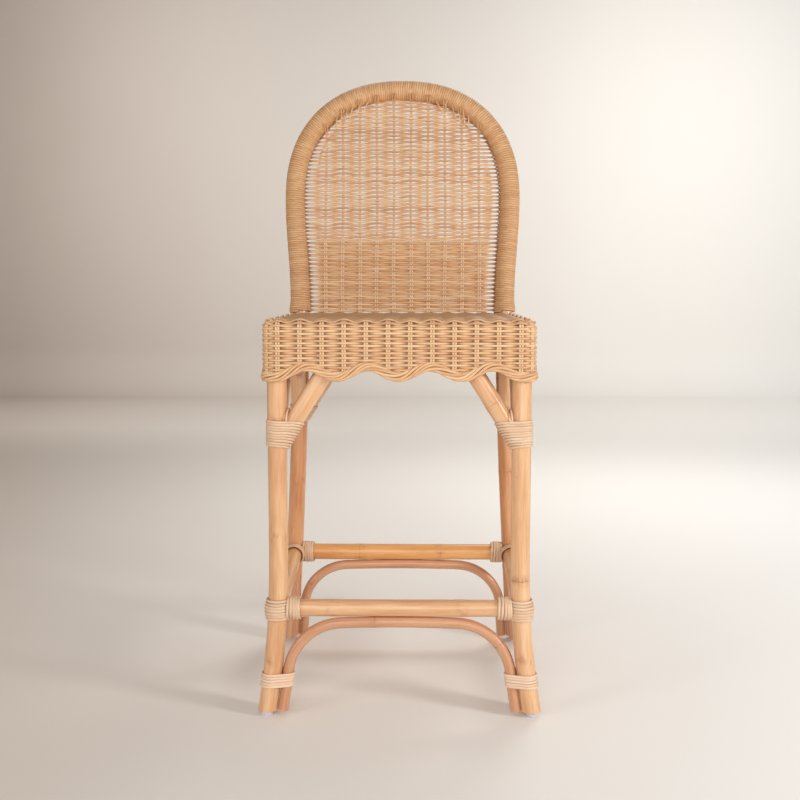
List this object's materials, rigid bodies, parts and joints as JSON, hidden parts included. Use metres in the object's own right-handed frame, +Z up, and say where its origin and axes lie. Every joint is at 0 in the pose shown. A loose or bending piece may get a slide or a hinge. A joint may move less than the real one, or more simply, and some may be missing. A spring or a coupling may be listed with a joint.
{
  "type": "bar stool with footrest",
  "caption": "Rattan-pole counter stool with a footrest, cane-bound joints, woven seat with a scalloped skirt, and a wrapped hoop back with a woven panel.",
  "frame": {"origin": "on the floor, under the middle of the whole stool's box", "axes": "+Z up, -Y towards the way a sitter faces, +X to the right as seen from the front"},
  "size_m": [0.483, 0.4802, 1.1065],
  "materials": {
    "rattan_pole": "smooth peeled rattan pole, satin lacquer",
    "wicker": "woven rattan core strands, satin",
    "binding_cane": "wound cane peel, satin",
    "glide_plastic": "translucent blue-grey plastic"
  },
  "bodies": {
    "root": {"arch_front": "rattan_pole", "arch_left": "rattan_pole", "arch_rear": "rattan_pole", "arch_right": "rattan_pole", "back_hoop": "rattan_pole", "back_panel": "wicker", "brace_across_front_left": "rattan_pole", "brace_across_front_right": "rattan_pole", "brace_across_rear_left": "rattan_pole", "brace_across_rear_right": "rattan_pole", "brace_along_front_left": "rattan_pole", "brace_along_front_right": "rattan_pole", "brace_along_rear_left": "rattan_pole", "brace_along_rear_right": "rattan_pole", "brace_binding_front_left": "binding_cane", "brace_binding_front_right": "binding_cane", "brace_binding_rear_left": "binding_cane", "brace_binding_rear_right": "binding_cane", "foot_binding_front_left": "binding_cane", "foot_binding_front_right": "binding_cane", "foot_binding_rear_left": "binding_cane", "foot_binding_rear_right": "binding_cane", "footrest": "rattan_pole", "glide_front_left": "glide_plastic", "glide_front_right": "glide_plastic", "glide_rear_left": "glide_plastic", "glide_rear_right": "glide_plastic", "hoop_wrap": "wicker", "leg_binding_front_left": "binding_cane", "leg_binding_front_right": "binding_cane", "leg_binding_rear_left": "binding_cane", "leg_binding_rear_right": "binding_cane", "leg_front_left": "rattan_pole", "leg_front_right": "rattan_pole", "leg_rear_left": "rattan_pole", "leg_rear_right": "rattan_pole", "seat_rail_front": "rattan_pole", "seat_rail_left": "rattan_pole", "seat_rail_rear": "rattan_pole", "seat_rail_right": "rattan_pole", "skirt_braid": "wicker", "stretcher_left": "rattan_pole", "stretcher_rear": "rattan_pole", "stretcher_right": "rattan_pole", "woven_seat": "wicker", "woven_skirt": "wicker", "wrap_front_at_front_left": "binding_cane", "wrap_front_at_front_right": "binding_cane", "wrap_left_at_front_left": "binding_cane", "wrap_left_at_rear_left": "binding_cane", "wrap_rear_at_rear_left": "binding_cane", "wrap_rear_at_rear_right": "binding_cane", "wrap_right_at_front_right": "binding_cane", "wrap_right_at_rear_right": "binding_cane"}
  },
  "joints": []
}
